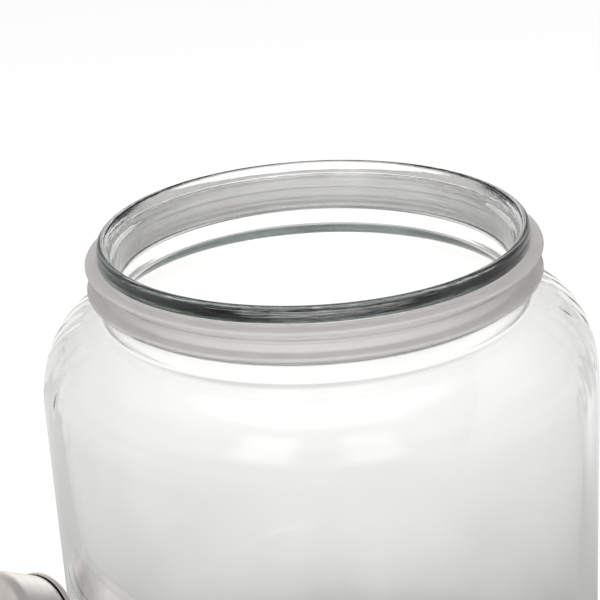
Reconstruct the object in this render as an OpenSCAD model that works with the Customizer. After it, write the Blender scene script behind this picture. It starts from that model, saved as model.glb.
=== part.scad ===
// Glass dispenser jar with a push-on metal lid, a double-lip sealing collar
// and a quarter-turn ball tap low on its front.
// Millimetres. +Z is up, the jar's axis is Z, and z = 0 is the surface it stands on.
// The tap points to -Y. The lid is off the jar and leans on its left side, towards -X.

/* [Jar] */
// Outer diameter of the jar's body
jar_d = 165; // [150:1:180]
// Height of the jar, from its foot to the top of the rim
jar_h = 227; // [205:1:250]
// Thickness of the glass wall
wall = 4.2; // [3.2:0.1:5.2]
// Thickness of the glass floor above the push-up
floor_t = 7; // [5:0.5:10]
// Radius of the rounded heel between the wall and the foot
heel_r = 14; // [9:0.5:18]
// Width of the ring that the jar stands on
foot_w = 7; // [4:0.5:12]
// Depth of the push-up under the floor
punt_h = 3; // [1:0.5:5]
// Height of the shoulder's curve, from the wall to the level at which it would run flat
shoulder_h = 30.9; // [24:0.1:38]
// Fullness of the shoulder's curve, where 2 is an ellipse
shoulder_n = 2.7; // [2:0.1:3.2]
// How far inside the mouth the shoulder's curve would run flat
crown_in = 8.3; // [4:0.1:14]
// Thickness of the glass at the top of the shoulder
crown_wall = 3.6; // [2.8:0.1:5]

/* [Neck] */
// Inside diameter of the mouth
mouth_d = 115.6; // [110:0.2:122]
// Thickness of the glass at the rim
rim_t = 4.9; // [4.2:0.1:6]
// Height of the rim, down to the collar's groove
rim_h = 4.8; // [4:0.1:6.5]
// Radius of the rim's rounded outer top edge
crest_r = 1.3; // [0.8:0.1:2]
// Height of the bevel that opens the mouth inside the rim
bevel_h = 5.8; // [3:0.1:8]
// Depth of the groove that holds the collar
groove_depth = 1.1; // [0.6:0.1:1.6]
// Height of the collar's groove
groove_h = 10.9; // [9.5:0.1:13]
// How far the plain neck below the groove stands out past the rim
neck_out = 0.3; // [0:0.1:1]
// Height of the plain neck, from the groove to the top of the shoulder's curve
neck_h = 4.5; // [3:0.1:8]
// Radius of the hollow round between the neck and the shoulder
neck_round = 0.9; // [0.5:0.1:3]
// Radius of the round inside, where the mouth opens into the shoulder
throat_round = 6.5; // [3:0.1:8]

/* [Sealing collar] */
// Thickness of the collar's wall
collar_wall = 1.2; // [0.9:0.1:1.6]
// How far the lips stand out from the collar's wall
lip_w = 3.5; // [2.5:0.1:4]
// Thickness of a lip at its tip
lip_t = 1.2; // [0.8:0.1:1.5]
// Distance between the two lips
lip_pitch = 7.3; // [6:0.1:8]
// Height of the thin rib halfway between the lips
rib_h = 0.9; // [0.5:0.1:1.4]

/* [Lid] */
// Thickness of the lid's sheet metal
sheet_t = 0.7; // [0.5:0.1:1]
// Depth of the lid's skirt, with its rolled edge
skirt_h = 16; // [13:0.5:20]
// Diameter of the wire-like roll along the lid's open edge
roll_d = 1.9; // [1.4:0.1:2.2]
// Radius of the lid's rounded top corner
lid_corner_r = 2.5; // [1.5:0.1:4]
// Depth of the pressed panel in the lid's top
panel_depth = 1; // [0.5:0.1:1.6]
// Width of the flat border round the pressed panel
panel_border = 9; // [6:0.5:14]
// How much the lips are squeezed when the lid is pushed on, on the radius
lip_squeeze = 0.15; // [0.05:0.05:0.3]
// Lean of the lid from upright, in degrees
lid_lean = 24; // [15:0.5:35]
// Direction from which the lid leans on the jar, in degrees from -X towards -Y
lid_turn = 20; // [0:1:45]

/* [Tap in the jar] */
// Height of the tap's axis above the surface
tap_z = 40; // [36:1:55]
// Diameter of the hole in the glass
hole_d = 17; // [16.8:0.1:18]
// Diameter of the flat pad round the hole
pad_d = 40; // [36:1:44]
// How far the pad stands out of the glass
pad_out = 1.5; // [1:0.1:2.5]
// How far the pad stands in, inside the jar
pad_in = 1.8; // [1.4:0.1:2.5]
// Diameter of the tail's thread
tail_d = 15.8; // [15:0.1:16.4]
// Free length of the tail behind its nut
tail_free = 5; // [2:0.5:10]
// Pitch of the tail's thread
thread_pitch = 1.5; // [1:0.25:2]
// Diameter of the flange
flange_d = 32; // [28:0.5:35]
// Thickness of the flange
flange_t = 3; // [2.5:0.5:5]
// Thickness of each silicone gasket
gasket_t = 2; // [1.5:0.1:3]
// Diameter of the silicone gaskets
gasket_d = 29; // [25:0.5:31]
// Thickness of the steel backing washer
backing_t = 1.2; // [0.8:0.1:2]
// Width across the flats of the tail nut
nut_af = 24; // [21:0.5:26]
// Thickness of the tail nut
nut_t = 6; // [4:0.5:9]

/* [Ball valve] */
// Diameter of the way through the tap
flow_d = 7; // [5:0.5:7.5]
// Diameter of the ball
ball_d = 13; // [12.5:0.1:13.5]
// Outer diameter of the valve's barrel
barrel_d = 23; // [22:0.5:26]
// Outer diameter of the two seats
seat_d = 14.8; // [14.4:0.1:15.4]
// Thickness of each seat
seat_t = 3; // [2.6:0.1:3.6]
// Diameter of the tail fitting's nose, which screws into the barrel
nose_d = 16.9; // [16.5:0.1:17.5]
// Length of the nose
nose_l = 13; // [10:0.5:16]
// Diameter of the stem
stem_d = 6; // [5.6:0.1:6.6]
// Section diameter of the stem's two O-rings
o_ring_t = 1; // [0.8:0.1:1.2]
// Height of the boss over the tap's axis
boss_h = 15; // [14.5:0.5:18]
// Width across the flats of the packing nut
packing_af = 13; // [12.5:0.1:13.6]
// Diameter of the post that stops the lever
post_d = 2.8; // [2:0.1:3]

/* [Spout] */
// Outer diameter of the spout
spout_d = 13; // [12:0.1:14]
// Radius of the spout's bend, at its middle
bend_r = 11; // [9:0.5:16]
// Straight length of the spout below its bend
spout_l = 13; // [10:0.5:17]
// Depth of the nozzle's seat in the spout
nozzle_seat = 8; // [5:0.5:9]
// Diameter of the nozzle's seat in the spout
nozzle_d = 10; // [9.5:0.1:10.6]

/* [Lever] */
// Length of the lever, from its pivot to the middle of its paddle
lever_l = 44; // [34:1:60]
// Rise of the lever from its hub to its paddle
lever_rise = 6; // [0:0.5:12]
// Width of the paddle
paddle_w = 14; // [10:0.5:18]
// Thickness of the paddle
paddle_t = 4; // [3:0.5:6]
// Diameter of the lever's hub
hub_d = 16; // [14:0.5:18]
// Height of the lever's hub
hub_h = 6; // [5:0.5:8]
// Width of the square on the stem
square_w = 4; // [3.6:0.1:4.1]

/* [Fits] */
// Gap round a part that turns in another, on the radius
run_gap = 0.05; // [0.02:0.01:0.1]
// Gap round a part that is screwed or pushed into another, on the radius
seat_gap = 0.05; // [0.02:0.01:0.1]
// Gap between the leaning lid and the glass
lean_gap = 0.3; // [0.1:0.05:0.5]

/* [Hidden] */
$fn = 96;

// Radii and levels of the jar
jar_r = jar_d / 2;
inner_r = jar_r - wall;
mouth_r = mouth_d / 2;
rim_r = mouth_r + rim_t;
groove_r = rim_r - groove_depth;
neck_r = rim_r + neck_out;
crest_x = rim_r - crest_r;
crest_z = jar_h - crest_r;
groove_top = jar_h - rim_h;
groove_bottom = groove_top - groove_h;
shoulder_bottom = groove_bottom - neck_h - shoulder_h;
crown_x = mouth_r - crown_in;
floor_z = punt_h + floor_t;
punt_w = 14;

// Angle at which the crest's round meets the bevel
bevel_foot = [mouth_r - crest_x, crest_r - bevel_h];
bevel_angle = 360 + atan2(bevel_foot.y, bevel_foot.x) - acos(crest_r / norm(bevel_foot));

arc_steps = 14;
edge_round = 0.5;
pad_slope = 2.5;
pad_in_step = 2;

// How far a cutter reaches past the face that it cuts, and the usual chamfer and slip gap
over = 1;
chamfer = 0.6;
slip_gap = 0.1;

// Collar
collar_r = groove_r + seat_gap;
collar_out_r = collar_r + collar_wall;
collar_bottom = groove_bottom + slip_gap;
collar_top = groove_top - slip_gap;
lip_root = lip_t * 0.75;
upper_lip_z = collar_top - lip_root - slip_gap;
lower_lip_z = upper_lip_z - lip_pitch;
lip_tip_r = collar_out_r + lip_w;

// Lid, measured from the middle of its rolled edge
roll_r = roll_d / 2;
skirt_in_r = lip_tip_r - lip_squeeze;
skirt_r = skirt_in_r + sheet_t;
roll_mid_r = skirt_in_r + roll_r;
lid_top = skirt_h - roll_r;
crease_h = 0.1;
crease_slope = 0.3;
panel_slope = 0.6;
lid_x = jar_r + lean_gap + roll_r + roll_mid_r * sin(lid_lean);
lid_z = roll_r + roll_mid_r * cos(lid_lean);

// Tap, measured outwards from the pad's outer face
pad_face = jar_r + pad_out;
pad_t = pad_out + wall + pad_in;
tail_r = tail_d / 2;
nut_back = pad_t + gasket_t + backing_t + nut_t;
flange_face = gasket_t + flange_t;
nose_face = flange_face + nose_l;
ball_r = ball_d / 2;
seat_r = seat_d / 2;
flow_r = flow_d / 2;
barrel_r = barrel_d / 2;
seat_back = 0.7;
seat_reach = ball_r + seat_back;
ball_out = nose_face + seat_reach;
chamber_end = ball_out + seat_reach;
barrel_wall = 3;
barrel_end = chamber_end + barrel_wall;
cone_l = 5;
bend_out = barrel_end + cone_l;
spout_out = bend_out + bend_r;
spout_r = spout_d / 2;
spout_tip = -bend_r - spout_l;

// Stem and lever, measured upwards from the tap's axis
stem_r = stem_d / 2;
stem_collar_r = seat_reach - seat_t - slip_gap;
slot_w = 3;
slot_depth = 2;
slot_floor = ball_r - slot_depth;
stem_collar_low = ball_r + slip_gap;
stem_collar_t = 1.5;
stem_collar_top = stem_collar_low + stem_collar_t;
packing_seat = 2.6;
packing_floor = boss_h - packing_seat;
packing_washer_t = 1;
packing_r = 5.4;
packing_hex_h = 3.5;
packing_top = boss_h + packing_hex_h;
o_ring_room = packing_floor - stem_collar_top;
o_ring_low = stem_collar_top + o_ring_room * 0.28;
o_ring_high = stem_collar_top + o_ring_room * 0.74;
hub_gap = 0.4;
hub_low = packing_top + hub_gap;
hub_top = hub_low + hub_h;
lever_turn = 90;
stop_plate_t = 2.5;
post_edge = 0.4;
post_circle = barrel_r - post_d / 2 - post_edge;
stud_d = 4;
spring_washer_t = 0.8;
cap_hex_h = 2.7;
cap_af = 8;
cap_low = hub_top + spring_washer_t;
stud_proud = 0.5;
stud_top = cap_low + cap_hex_h + stud_proud;

// Nozzle
nozzle_lip_h = 1.5;
nozzle_lip_step = 0.4;

// ---- Shapes that repeat ----

// Points of an elliptical arc from angle a to angle b
function arc(x, z, rx, rz, a, b, steps = arc_steps) =
    [for (i = [0:steps]) let (t = a + (b - a) * i / steps) [x + rx * cos(t), z + rz * sin(t)]];

// Slope of the normal to a shoulder's curve of width w and height h, at radius x
function shoulder_lean(x, w, h) =
    let (u = (x - crown_x) / w, v = pow(1 - pow(u, shoulder_n), 1 / shoulder_n))
        atan2(pow(v, shoulder_n - 1) / h, pow(u, shoulder_n - 1) / w);

// Radius at which that curve meets a round that runs into an upright of radius neck
function shoulder_end(x, w, h, neck, round, tries = 5) = tries == 0 ? x :
    shoulder_end(neck + round * (1 - cos(shoulder_lean(x, w, h))), w, h, neck, round, tries - 1);

// Points of the curve, from the wall at its foot to that round, and of the round itself
function shoulder(w, h, neck, round, steps) =
    let (x = shoulder_end(neck + round / 2, w, h, neck, round),
         lean = shoulder_lean(x, w, h),
         end = acos(pow((x - crown_x) / w, shoulder_n / 2)),
         z = shoulder_bottom + h * pow(sin(end), 2 / shoulder_n))
    concat(
        [for (i = [0:arc_steps]) let (t = end * i / arc_steps)
            [crown_x + w * pow(cos(t), 2 / shoulder_n), shoulder_bottom + h * pow(sin(t), 2 / shoulder_n)]],
        arc(neck + round, z + round * sin(lean), round, round,
            180 + lean * (1 - 1 / steps), 180, steps - 1));

// The same points in the opposite order
function flip(points) = [for (i = [len(points) - 1:-1:0]) points[i]];

// A ring about Z
module ring(outer_r, inner_r, h) {
    difference() {
        cylinder(r = outer_r, h = h);
        translate([0, 0, -over]) cylinder(r = inner_r, h = h + 2 * over);
    }
}

// A six-sided bar with its edges chamfered at both ends
module hex_bar(af, h) {
    intersection() {
        cylinder(d = af / cos(30), h = h, $fn = 6);
        rotate_extrude() polygon([[0, 0], [af / 2, 0], [af / 2 + 2 * chamfer, chamfer],
                                  [af / 2 + 2 * chamfer, h - chamfer], [af / 2, h], [0, h]]);
    }
}

// A bar with thread ridges, its crests at r
module threaded_bar(r, l, pitch) {
    turns = floor(l / pitch);
    depth = pitch * 0.35;
    start = (l - turns * pitch) / 2;
    rotate_extrude() polygon(concat([[0, 0], [r - depth, 0]],
        [for (i = [0:turns - 1], k = [0:1])
            [r - depth * (1 - k), start + pitch * (i + k / 2 + 0.25)]],
        [[r - depth, l], [0, l]]));
}

// Places its children on the tap's axis with +Z outwards
module along_tap(out) {
    translate([0, -(pad_face + out), tap_z]) rotate([90, 0, 0]) children();
}

// Places its children over the tap's axis with +Z up
module above_tap(out, up) {
    translate([0, -(pad_face + out), tap_z + up]) children();
}

// ---- Jar ----

// Half section of the glass, walked up the outside, over the rim and down the inside
module glass_section() {
    foot_r = jar_r - heel_r;
    foot_in = foot_r - foot_w;
    in_heel = heel_r - wall / 2;
    polygon(concat(
        [[0, punt_h], [foot_in - punt_w, punt_h]],
        arc(foot_in - punt_w, 0, punt_w, punt_h, 80, 10, 7),
        [[foot_in, 0]],
        arc(foot_r, heel_r, heel_r, heel_r, -90, 0),
        shoulder(jar_r - crown_x, shoulder_h, neck_r, neck_round, 4),
        [[neck_r, groove_bottom - edge_round]],
        arc(neck_r - edge_round, groove_bottom - edge_round, edge_round, edge_round, 20, 90, 4),
        [[groove_r, groove_bottom], [groove_r, groove_top], [rim_r - edge_round, groove_top]],
        arc(rim_r - edge_round, groove_top + edge_round, edge_round, edge_round, -70, 0, 4),
        arc(crest_x, crest_z, crest_r, crest_r, 0, bevel_angle),
        [[mouth_r, jar_h - bevel_h]],
        flip(shoulder(inner_r - crown_x, shoulder_h - crown_wall, mouth_r, throat_round, 8)),
        arc(inner_r - in_heel, floor_z + in_heel, in_heel, in_heel, 0, -90),
        [[0, floor_z]]));
}

module jar() {
    color([0.82, 0.87, 0.86, 0.45]) difference() {
        union() {
            rotate_extrude($fn = 144) glass_section();
            along_tap(-pad_out - wall / 2)
                cylinder(d1 = pad_d + 2 * pad_slope, d2 = pad_d, h = pad_out + wall / 2);
            along_tap(-pad_t) cylinder(d = pad_d - 2 * pad_in_step, h = pad_t - pad_out - wall / 2);
        }
        along_tap(-pad_t - over) cylinder(d = hole_d, h = pad_t + 2 * over);
    }
}

// ---- Sealing collar on the neck ----

// Points of a lip that droops a little, from its root's underside to its upper side
function lip(z) = let (tip = lip_t / 2, tip_r = lip_tip_r - tip) concat(
    [[collar_out_r, z - lip_t]],
    arc(tip_r, z - lip_t * 0.2, tip, tip, -90, 90, 6),
    [[collar_out_r, z + lip_root]]);

module neck_collar() {
    rib_z = (upper_lip_z + lower_lip_z) / 2;
    color([0.86, 0.85, 0.84, 0.85]) rotate_extrude($fn = 144) polygon(concat(
        [[collar_r, collar_bottom], [collar_out_r, collar_bottom]],
        lip(lower_lip_z),
        arc(collar_out_r, rib_z, rib_h / 2, rib_h / 2, -90, 90, 6),
        lip(upper_lip_z),
        [[collar_out_r - edge_round, collar_top], [collar_r, collar_top]]));
}

// ---- Lid, off the jar ----

// Half section of the sheet, with its rolled edge round z = 0
module lid_section() {
    panel_r = skirt_r - panel_border;
    out_r = lid_corner_r;
    in_r = lid_corner_r - sheet_t;
    slope = panel_depth + panel_slope;
    crease_r = skirt_r - sheet_t / 2;
    crease_top = roll_r + crease_h;
    polygon(concat(
        [[skirt_in_r, 0], [crease_r, 0], [crease_r, crease_top], [skirt_r, crease_top + crease_slope]],
        arc(skirt_r - out_r, lid_top - out_r, out_r, out_r, 0, 90, 8),
        [[panel_r, lid_top], [panel_r - slope, lid_top - panel_depth], [0, lid_top - panel_depth],
         [0, lid_top - panel_depth - sheet_t],
         [panel_r - slope - sheet_t * 0.4, lid_top - panel_depth - sheet_t],
         [panel_r - sheet_t * 0.4, lid_top - sheet_t]],
        arc(skirt_r - out_r, lid_top - out_r, in_r, in_r, 90, 0, 8)));
    translate([roll_mid_r, 0]) circle(roll_r, $fn = 32);
}

module lid() {
    color([0.72, 0.7, 0.67])
        translate([-lid_x * cos(lid_turn), -lid_x * sin(lid_turn), lid_z])
        rotate([0, lid_lean - 90, lid_turn])
        rotate_extrude($fn = 144) lid_section();
}

// ---- What fastens the tap in the glass ----

module tail_fitting() {
    tail_l = nut_back + tail_free + gasket_t;
    color([0.75, 0.75, 0.76]) difference() {
        union() {
            along_tap(gasket_t - tail_l) threaded_bar(tail_r, tail_l, thread_pitch);
            along_tap(gasket_t) rotate_extrude() polygon([[0, 0], [flange_d / 2, 0],
                [flange_d / 2, flange_t - chamfer], [flange_d / 2 - chamfer, flange_t], [0, flange_t]]);
            along_tap(flange_face) cylinder(d = nose_d, h = nose_l);
        }
        along_tap(gasket_t - tail_l - over)
            cylinder(r = flow_r, h = tail_l + flange_t + nose_l + 2 * over);
    }
}

module outer_gasket() {
    color([0.9, 0.9, 0.88]) along_tap(0) ring(gasket_d / 2, tail_r + seat_gap, gasket_t);
}

module inner_gasket() {
    color([0.9, 0.9, 0.88])
        along_tap(-pad_t - gasket_t) ring(gasket_d / 2, tail_r + seat_gap, gasket_t);
}

module backing_washer() {
    color("silver") along_tap(-pad_t - gasket_t - backing_t)
        ring(gasket_d / 2 - edge_round, tail_r + slip_gap, backing_t);
}

module tail_nut() {
    color("silver") along_tap(-nut_back) difference() {
        hex_bar(nut_af, nut_t);
        translate([0, 0, -over]) cylinder(r = tail_r + seat_gap, h = nut_t + 2 * over);
    }
}

// ---- Valve body and spout ----

// Quarter bend of a round bar, from the tap's axis down to the spout's
module bend(r) {
    translate([0, -(pad_face + bend_out), tap_z - bend_r]) rotate([90, 0, -90])
        rotate_extrude(angle = 90) translate([bend_r, 0]) circle(r, $fn = 48);
}

module valve_body() {
    color([0.75, 0.75, 0.76]) difference() {
        union() {
            along_tap(flange_face) cylinder(r = barrel_r, h = barrel_end - flange_face);
            along_tap(barrel_end) cylinder(r1 = barrel_r, r2 = spout_r, h = cone_l);
            above_tap(ball_out, 0) cylinder(r = barrel_r, h = boss_h);
            above_tap(ball_out, 0) translate([-post_circle, 0, boss_h - over])
                cylinder(d = post_d, h = hub_low + stop_plate_t - boss_h, $fn = 32);
            bend(spout_r);
            above_tap(spout_out, spout_tip) cylinder(r = spout_r, h = spout_l);
        }
        along_tap(flange_face - over) cylinder(d = nose_d + 2 * seat_gap, h = nose_l + over);
        along_tap(nose_face - over) cylinder(r = seat_r + seat_gap, h = chamber_end - nose_face + over);
        along_tap(chamber_end - over) cylinder(r = flow_r, h = bend_out - chamber_end + over);
        bend(flow_r);
        above_tap(spout_out, spout_tip - over) cylinder(r = flow_r, h = spout_l + over);
        above_tap(spout_out, spout_tip - over) cylinder(d = nozzle_d, h = nozzle_seat + over);
        above_tap(ball_out, 0) cylinder(r = stem_collar_r + run_gap, h = stem_collar_top + run_gap);
        above_tap(ball_out, 0) cylinder(r = stem_r + run_gap, h = boss_h + over);
        above_tap(ball_out, packing_floor) cylinder(r = packing_r + seat_gap, h = boss_h);
    }
}

// One of the two seats that hold the ball, with its flat face at z = 0
module seat() {
    difference() {
        cylinder(r = seat_r, h = seat_t);
        translate([0, 0, -over]) cylinder(r = flow_r, h = seat_t + 2 * over);
        translate([0, 0, seat_reach]) sphere(ball_r + run_gap);
    }
}

module inlet_seat() {
    color("white") along_tap(nose_face) seat();
}

module outlet_seat() {
    color("white") along_tap(chamber_end) mirror([0, 0, 1]) seat();
}

// ---- What turns with the lever ----

// The ball, with its bore across the tap when it is shut
module valve_ball() {
    color([0.8, 0.8, 0.82]) above_tap(ball_out, 0) difference() {
        sphere(ball_r);
        rotate([0, 90, 0]) cylinder(r = flow_r, h = 2 * ball_d, center = true);
        translate([-ball_r, -slot_w / 2, slot_floor]) cube([ball_d, slot_w, ball_r]);
    }
}

module o_ring_groove(up) {
    translate([0, 0, up - o_ring_t / 2]) ring(stem_r + over, stem_r - o_ring_t, o_ring_t);
}

module valve_stem() {
    blade_w = slot_w - 2 * slip_gap;
    blade_l = 1.5 * stem_collar_r;
    color([0.8, 0.8, 0.82]) above_tap(ball_out, 0) difference() {
        union() {
            translate([-blade_l / 2, -blade_w / 2, slot_floor + slip_gap])
                cube([blade_l, blade_w, stem_collar_low - slot_floor]);
            translate([0, 0, stem_collar_low]) cylinder(r = stem_collar_r, h = stem_collar_t);
            translate([0, 0, stem_collar_low]) cylinder(r = stem_r, h = hub_low - stem_collar_low);
            translate([-square_w / 2, -square_w / 2, hub_low - slip_gap])
                cube([square_w, square_w, hub_h]);
            translate([0, 0, hub_low]) cylinder(d = stud_d, h = stud_top - hub_low);
        }
        o_ring_groove(o_ring_low);
        o_ring_groove(o_ring_high);
    }
}

module stem_o_ring(up) {
    color([0.12, 0.12, 0.12]) above_tap(ball_out, up)
        rotate_extrude() translate([stem_r - o_ring_t / 2, 0]) circle(d = o_ring_t, $fn = 24);
}

module stem_o_ring_lower() {
    stem_o_ring(o_ring_low);
}

module stem_o_ring_upper() {
    stem_o_ring(o_ring_high);
}

module packing_washer() {
    color("white") above_tap(ball_out, packing_floor)
        ring(packing_r, stem_r + run_gap, packing_washer_t);
}

module packing_nut() {
    low = packing_floor + packing_washer_t;
    color([0.75, 0.75, 0.76]) above_tap(ball_out, 0) difference() {
        union() {
            translate([0, 0, low]) cylinder(r = packing_r, h = boss_h - low);
            translate([0, 0, boss_h]) hex_bar(packing_af, packing_hex_h);
        }
        cylinder(r = stem_r + run_gap, h = packing_top + over);
    }
}

// Outline of the stop plate, notched so that the post lets it turn from shut to open
module stop_plate() {
    swing = asin((post_d / 2 + slip_gap) / post_circle);
    far = 2 * barrel_r;
    difference() {
        circle(barrel_r);
        polygon(concat([[0, 0]], [for (i = [0:6])
            let (a = 180 - swing + (lever_turn + 2 * swing) * i / 6) [far * cos(a), far * sin(a)]]));
    }
}

// The lever, pointing to +X, with its hub's lower face at z = 0
module lever_shape() {
    root_w = hub_d * 0.62;
    root_h = hub_h - edge_round;
    waist_x = lever_l * 0.5;
    difference() {
        union() {
            cylinder(d = hub_d, h = hub_h);
            linear_extrude(stop_plate_t) stop_plate();
            hull() {
                translate([hub_d / 2, 0, root_h - paddle_t])
                    cylinder(d = root_w, h = paddle_t, $fn = 32);
                translate([waist_x, 0, hub_h - paddle_t + lever_rise * 0.55])
                    cylinder(d = paddle_w * 0.62, h = paddle_t * 0.9, $fn = 32);
            }
            hull() {
                translate([waist_x, 0, hub_h - paddle_t + lever_rise * 0.55])
                    cylinder(d = paddle_w * 0.62, h = paddle_t * 0.9, $fn = 32);
                translate([lever_l, 0, hub_h - paddle_t + lever_rise])
                    cylinder(d = paddle_w, h = paddle_t * 0.6, $fn = 32);
                translate([lever_l, 0, hub_h - paddle_t + lever_rise])
                    cylinder(d = paddle_w * 0.8, h = paddle_t, $fn = 32);
            }
        }
        translate([-square_w / 2 - seat_gap, -square_w / 2 - seat_gap, -over])
            cube([square_w + 2 * seat_gap, square_w + 2 * seat_gap, hub_h + 2 * over]);
    }
}

module lever() {
    color([0.78, 0.78, 0.79]) above_tap(ball_out, hub_low) lever_shape();
}

module spring_washer() {
    color("silver") above_tap(ball_out, hub_top)
        ring(cap_af / 2, stud_d / 2 + seat_gap, spring_washer_t);
}

module cap_nut() {
    color([0.8, 0.8, 0.82]) above_tap(ball_out, cap_low) difference() {
        union() {
            hex_bar(cap_af, cap_hex_h);
            translate([0, 0, cap_hex_h - chamfer / 2]) intersection() {
                sphere(cap_af / 2 - chamfer);
                cylinder(d = cap_af, h = cap_af);
            }
        }
        translate([0, 0, -over])
            cylinder(d = stud_d + 2 * seat_gap, h = stud_top - cap_low + over + slip_gap);
    }
}

// ---- Nozzle in the spout's end ----

module spout_nozzle() {
    color([0.93, 0.93, 0.92]) above_tap(spout_out, spout_tip) difference() {
        union() {
            cylinder(r = nozzle_d / 2 - seat_gap, h = nozzle_seat - slip_gap);
            translate([0, 0, -nozzle_lip_h]) cylinder(r = spout_r - nozzle_lip_step, h = nozzle_lip_h);
        }
        translate([0, 0, -nozzle_lip_h - over])
            cylinder(r = flow_r, h = nozzle_seat + nozzle_lip_h + 2 * over);
    }
}

jar();
neck_collar();
lid();
tail_fitting();
outer_gasket();
inner_gasket();
backing_washer();
tail_nut();
valve_body();
inlet_seat();
outlet_seat();
valve_ball();
valve_stem();
stem_o_ring_lower();
stem_o_ring_upper();
packing_washer();
packing_nut();
lever();
spring_washer();
cap_nut();
spout_nozzle();
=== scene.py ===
"""Looks of the glass dispenser jar: its glass, sealing collar, lid and tap, in metres."""

import math

import bmesh
import bpy
from mathutils import Matrix, Vector, noise


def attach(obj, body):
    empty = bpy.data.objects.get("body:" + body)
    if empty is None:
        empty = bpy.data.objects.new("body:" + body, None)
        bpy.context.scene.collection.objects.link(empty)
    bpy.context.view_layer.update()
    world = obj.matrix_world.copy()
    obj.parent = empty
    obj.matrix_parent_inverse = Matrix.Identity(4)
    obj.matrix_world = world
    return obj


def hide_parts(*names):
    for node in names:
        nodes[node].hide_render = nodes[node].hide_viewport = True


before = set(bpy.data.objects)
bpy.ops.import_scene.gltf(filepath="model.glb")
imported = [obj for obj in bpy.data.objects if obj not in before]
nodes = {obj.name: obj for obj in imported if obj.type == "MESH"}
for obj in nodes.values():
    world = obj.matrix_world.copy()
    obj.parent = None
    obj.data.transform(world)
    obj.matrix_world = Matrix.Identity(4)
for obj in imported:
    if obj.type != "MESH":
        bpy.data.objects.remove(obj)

MM = 0.001
scene = bpy.context.scene
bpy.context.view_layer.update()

# ---------------------------------------------------------------------------
# Sizes, in millimetres unless a name says otherwise
# ---------------------------------------------------------------------------

# Jar
JAR_R = 82.5
JAR_H = 227.0
WALL = 4.2
FLOOR_Z = 10.0
HEEL_R = 14.0
FOOT_W = 7.0
PUNT_H = 3.0
PUNT_W = 14.0
SHOULDER_H = 30.9
SHOULDER_N = 2.7
CROWN_R = 49.5
CROWN_WALL = 3.6

# Neck
RIM_R = 62.7
RIM_H = 4.8
MOUTH_R = 57.8
CREST_R = 1.3
BEVEL_H = 5.8
GROOVE_R = 61.6
GROOVE_H = 10.9
NECK_R = 63.0
NECK_H = 4.5
NECK_ROUND = 0.9
THROAT_ROUND = 6.5

GROOVE_TOP = JAR_H - RIM_H
GROOVE_BOTTOM = GROOVE_TOP - GROOVE_H
SHOULDER_BOTTOM = GROOVE_BOTTOM - NECK_H - SHOULDER_H

# Where the crest's round ends and the bevel inside the mouth begins
CREST_X = RIM_R - CREST_R
CREST_Z = JAR_H - CREST_R
BEVEL_FOOT = (MOUTH_R - CREST_X, CREST_R - BEVEL_H)
BEVEL_ANGLE = 360 + math.degrees(math.atan2(BEVEL_FOOT[1], BEVEL_FOOT[0])
                                 - math.acos(CREST_R / math.hypot(*BEVEL_FOOT)))

# Rounded ledge under the groove
LEDGE_W = 1.35
LEDGE_H = 0.9

# Collar
COLLAR_R = 61.65
COLLAR_WALL = 1.2
LIP_TIP_R = 66.35
LIP_T = 1.2
LIP_PITCH = 7.3
COLLAR_BOTTOM = GROOVE_BOTTOM + 0.1
COLLAR_TOP = GROOVE_TOP - 0.1
UPPER_LIP_Z = COLLAR_TOP - 1.0
LOWER_LIP_Z = UPPER_LIP_Z - LIP_PITCH

# Lid, in its own frame: z = 0 is the middle of its rolled edge
SKIRT_IN_R = 66.2
SHEET_T = 0.7
SKIRT_H = 16.0
ROLL_R = 0.95
LID_CORNER_R = 2.5
PANEL_DEPTH = 1.0
PANEL_BORDER = 9.0
LID_LEAN = math.radians(24)
LID_TURN = math.radians(20)
LEAN_GAP = 0.3

# Longest stretch of an outline between two rings of points
JAR_STEP = 1.8
COLLAR_STEP = 0.6
LID_STEP = 3.0

# How far pressed glass strays: slow waves and shoulder folds inside, side creases, waves outside,
# and the ripple of the rim
WAVE_IN = 0.32
FOLD_IN = 0.05
CREASE_IN = 0.22
WAVE_OUT = 0.07
RIM_RIPPLE_IN = 0.05
RIM_RIPPLE_OUT = 0.02
LIP_SWAY = 0.14

# Tap
TAP_Z = 40.0
PAD_FACE = 84.0
PAD_R = 20.0
PAD_T = 7.5
HOLE_R = 8.5

# ---------------------------------------------------------------------------
# Camera
# ---------------------------------------------------------------------------

FOCAL_MM = 105.0
CAMERA_PITCH = math.radians(22.03)
CAMERA_ROLL = math.radians(-3.42)
CAMERA_DISTANCE = 0.5064
# Where the middle of the rim lies in the view, in fractions of the view's width
RIM_IN_VIEW = (16.71 / 600, -74.23 / 600)


def make_camera():
    """Camera that looks down on the mouth from the front, with the middle of the rim where
    RIM_IN_VIEW puts it."""
    data = bpy.data.cameras.new("camera")
    data.lens = FOCAL_MM
    data.sensor_width = 36.0
    data.clip_start = 0.01
    data.clip_end = 50.0
    cam = bpy.data.objects.new("camera", data)
    scene.collection.objects.link(cam)
    forward = Vector((0, math.cos(CAMERA_PITCH), -math.sin(CAMERA_PITCH)))
    down = Vector((0, -math.sin(CAMERA_PITCH), -math.cos(CAMERA_PITCH)))
    right = Vector((1, 0, 0))
    reach = CAMERA_DISTANCE * data.sensor_width / data.lens
    place = Vector((0, 0, JAR_H * MM)) - CAMERA_DISTANCE * forward
    place -= RIM_IN_VIEW[0] * reach * right + RIM_IN_VIEW[1] * reach * down
    turn_right = math.cos(CAMERA_ROLL) * right - math.sin(CAMERA_ROLL) * down
    turn_down = math.sin(CAMERA_ROLL) * right + math.cos(CAMERA_ROLL) * down
    axes = Matrix((turn_right, -turn_down, -forward)).transposed()
    cam.matrix_world = Matrix.Translation(place) @ axes.to_4x4()
    scene.camera = cam


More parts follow.
